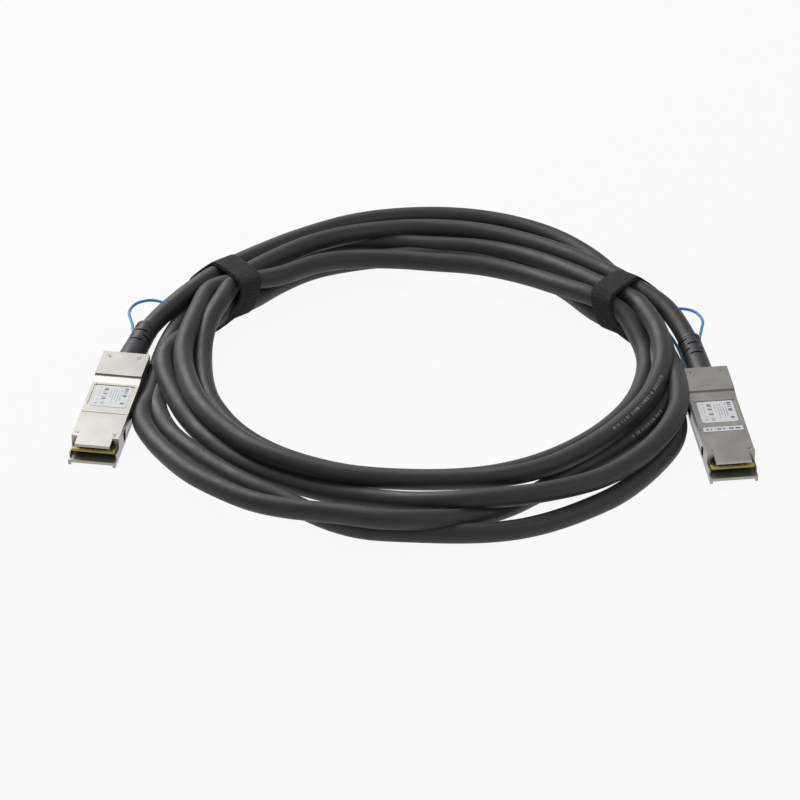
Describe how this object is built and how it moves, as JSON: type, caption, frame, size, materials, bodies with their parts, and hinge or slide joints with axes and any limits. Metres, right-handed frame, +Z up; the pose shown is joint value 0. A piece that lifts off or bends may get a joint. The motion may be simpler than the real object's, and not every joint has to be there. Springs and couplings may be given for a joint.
{
  "type": "direct attach copper cable",
  "caption": "Coiled black twinax cable with a pluggable metal connector on each end, tied with hook-and-loop straps, with blue pull loops that release the latches.",
  "frame": {"origin": "on the resting plane, under the middle of the two plugs' common box", "axes": "+X from the left plug to the right plug, +Y away from the viewer towards the straps, +Z up; plugs lie label side up with their noses towards -Y"},
  "size_m": [0.2612, 0.2236, 0.0185],
  "materials": {
    "cable_jacket": "satin",
    "card_laminate": "gloss",
    "component_black": "matte",
    "contact_gold": "polished",
    "ferrule_brass": "satin",
    "hook_and_loop": "matte",
    "label_white": "satin",
    "latch_steel": "satin",
    "loop_blue": "satin",
    "nickel_shell": "satin",
    "pair_insulation": "satin",
    "relief_rubber": "matte",
    "rivet_steel": "satin"
  },
  "bodies": {
    "cable_and_plugs": {"cable_coil": "cable_jacket", "left_bottom_shell": "nickel_shell", "left_card_components": "component_black", "left_cover_rivets": "rivet_steel", "left_crimp_ferrule": "ferrule_brass", "left_gold_contacts": "contact_gold", "left_label": "label_white", "left_lead": "cable_jacket", "left_paddle_card": "card_laminate", "left_return_springs": "latch_steel", "left_strain_relief": "relief_rubber", "left_strap": "hook_and_loop", "left_top_cover": "nickel_shell", "left_wire_pairs": "pair_insulation", "right_bottom_shell": "nickel_shell", "right_card_components": "component_black", "right_cover_rivets": "rivet_steel", "right_crimp_ferrule": "ferrule_brass", "right_gold_contacts": "contact_gold", "right_label": "label_white", "right_lead": "cable_jacket", "right_paddle_card": "card_laminate", "right_return_springs": "latch_steel", "right_strain_relief": "relief_rubber", "right_strap": "hook_and_loop", "right_strip_label": "label_white", "right_top_cover": "nickel_shell", "right_wire_pairs": "pair_insulation"},
    "left_latch": {"left_latch_slider": "latch_steel", "left_pull_loop": "loop_blue"},
    "right_latch": {"right_latch_slider": "latch_steel", "right_pull_loop": "loop_blue"}
  },
  "joints": [
    {"name": "left_latch_pull", "type": "slide", "parent": "cable_and_plugs", "child": "left_latch", "axis": [0.1552, 0.9879, 0], "range_m": [0, 0.0025], "stiffness_N_per_m": 600, "springref_m": -0.001, "deforming": ["left_return_springs"]},
    {"name": "right_latch_pull", "type": "slide", "parent": "cable_and_plugs", "child": "right_latch", "axis": [-0.1227, 0.9924, 0], "range_m": [0, 0.0025], "stiffness_N_per_m": 600, "springref_m": -0.001, "deforming": ["right_return_springs"]}
  ]
}
